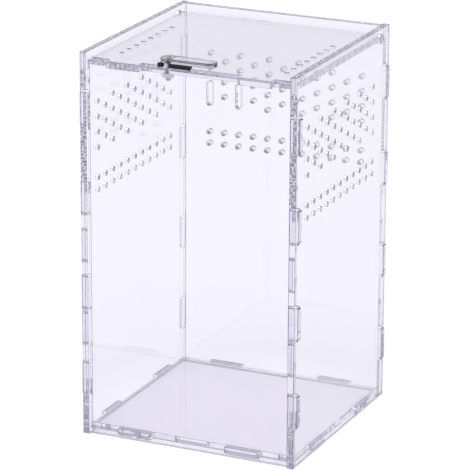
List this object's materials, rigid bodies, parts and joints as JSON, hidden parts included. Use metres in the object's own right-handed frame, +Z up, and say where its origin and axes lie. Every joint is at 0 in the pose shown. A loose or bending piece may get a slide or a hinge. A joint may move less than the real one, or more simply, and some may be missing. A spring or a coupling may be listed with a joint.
{
  "type": "acrylic spider enclosure",
  "caption": "Tall clear acrylic box for a climbing spider, with tab jointed walls, air holes, a lid that turns on side pegs and a swivel latch plate.",
  "frame": {"origin": "on the table, under the middle of the box", "axes": "+X to the right along the front, +Y from the front panel to the back panel, +Z up"},
  "size_m": [0.102, 0.101, 0.1722],
  "materials": {
    "clear_acrylic": "clear polished sheet",
    "black_rubber": "matt",
    "zinc_steel": "zinc plated"
  },
  "bodies": {
    "box": {"left_side_panel": "clear_acrylic", "right_side_panel": "clear_acrylic", "front_panel": "clear_acrylic", "back_panel": "clear_acrylic", "floor_panel": "clear_acrylic"},
    "lid": {"lid_panel": "clear_acrylic", "latch_pad": "black_rubber", "latch_screw": "zinc_steel", "latch_nut": "zinc_steel"},
    "latch": {"latch_plate": "clear_acrylic"}
  },
  "joints": [
    {"name": "lid_hinge", "type": "hinge", "parent": "box", "child": "lid", "pos_m": [0, 0.041, 0.1675], "axis": [-1, 0, 0], "range_deg": [0, 124]},
    {"name": "latch_swivel", "type": "hinge", "parent": "lid", "child": "latch", "pos_m": [-0.0117, -0.0428, 0.1702], "axis": [0, 0, 1], "continuous": true}
  ]
}
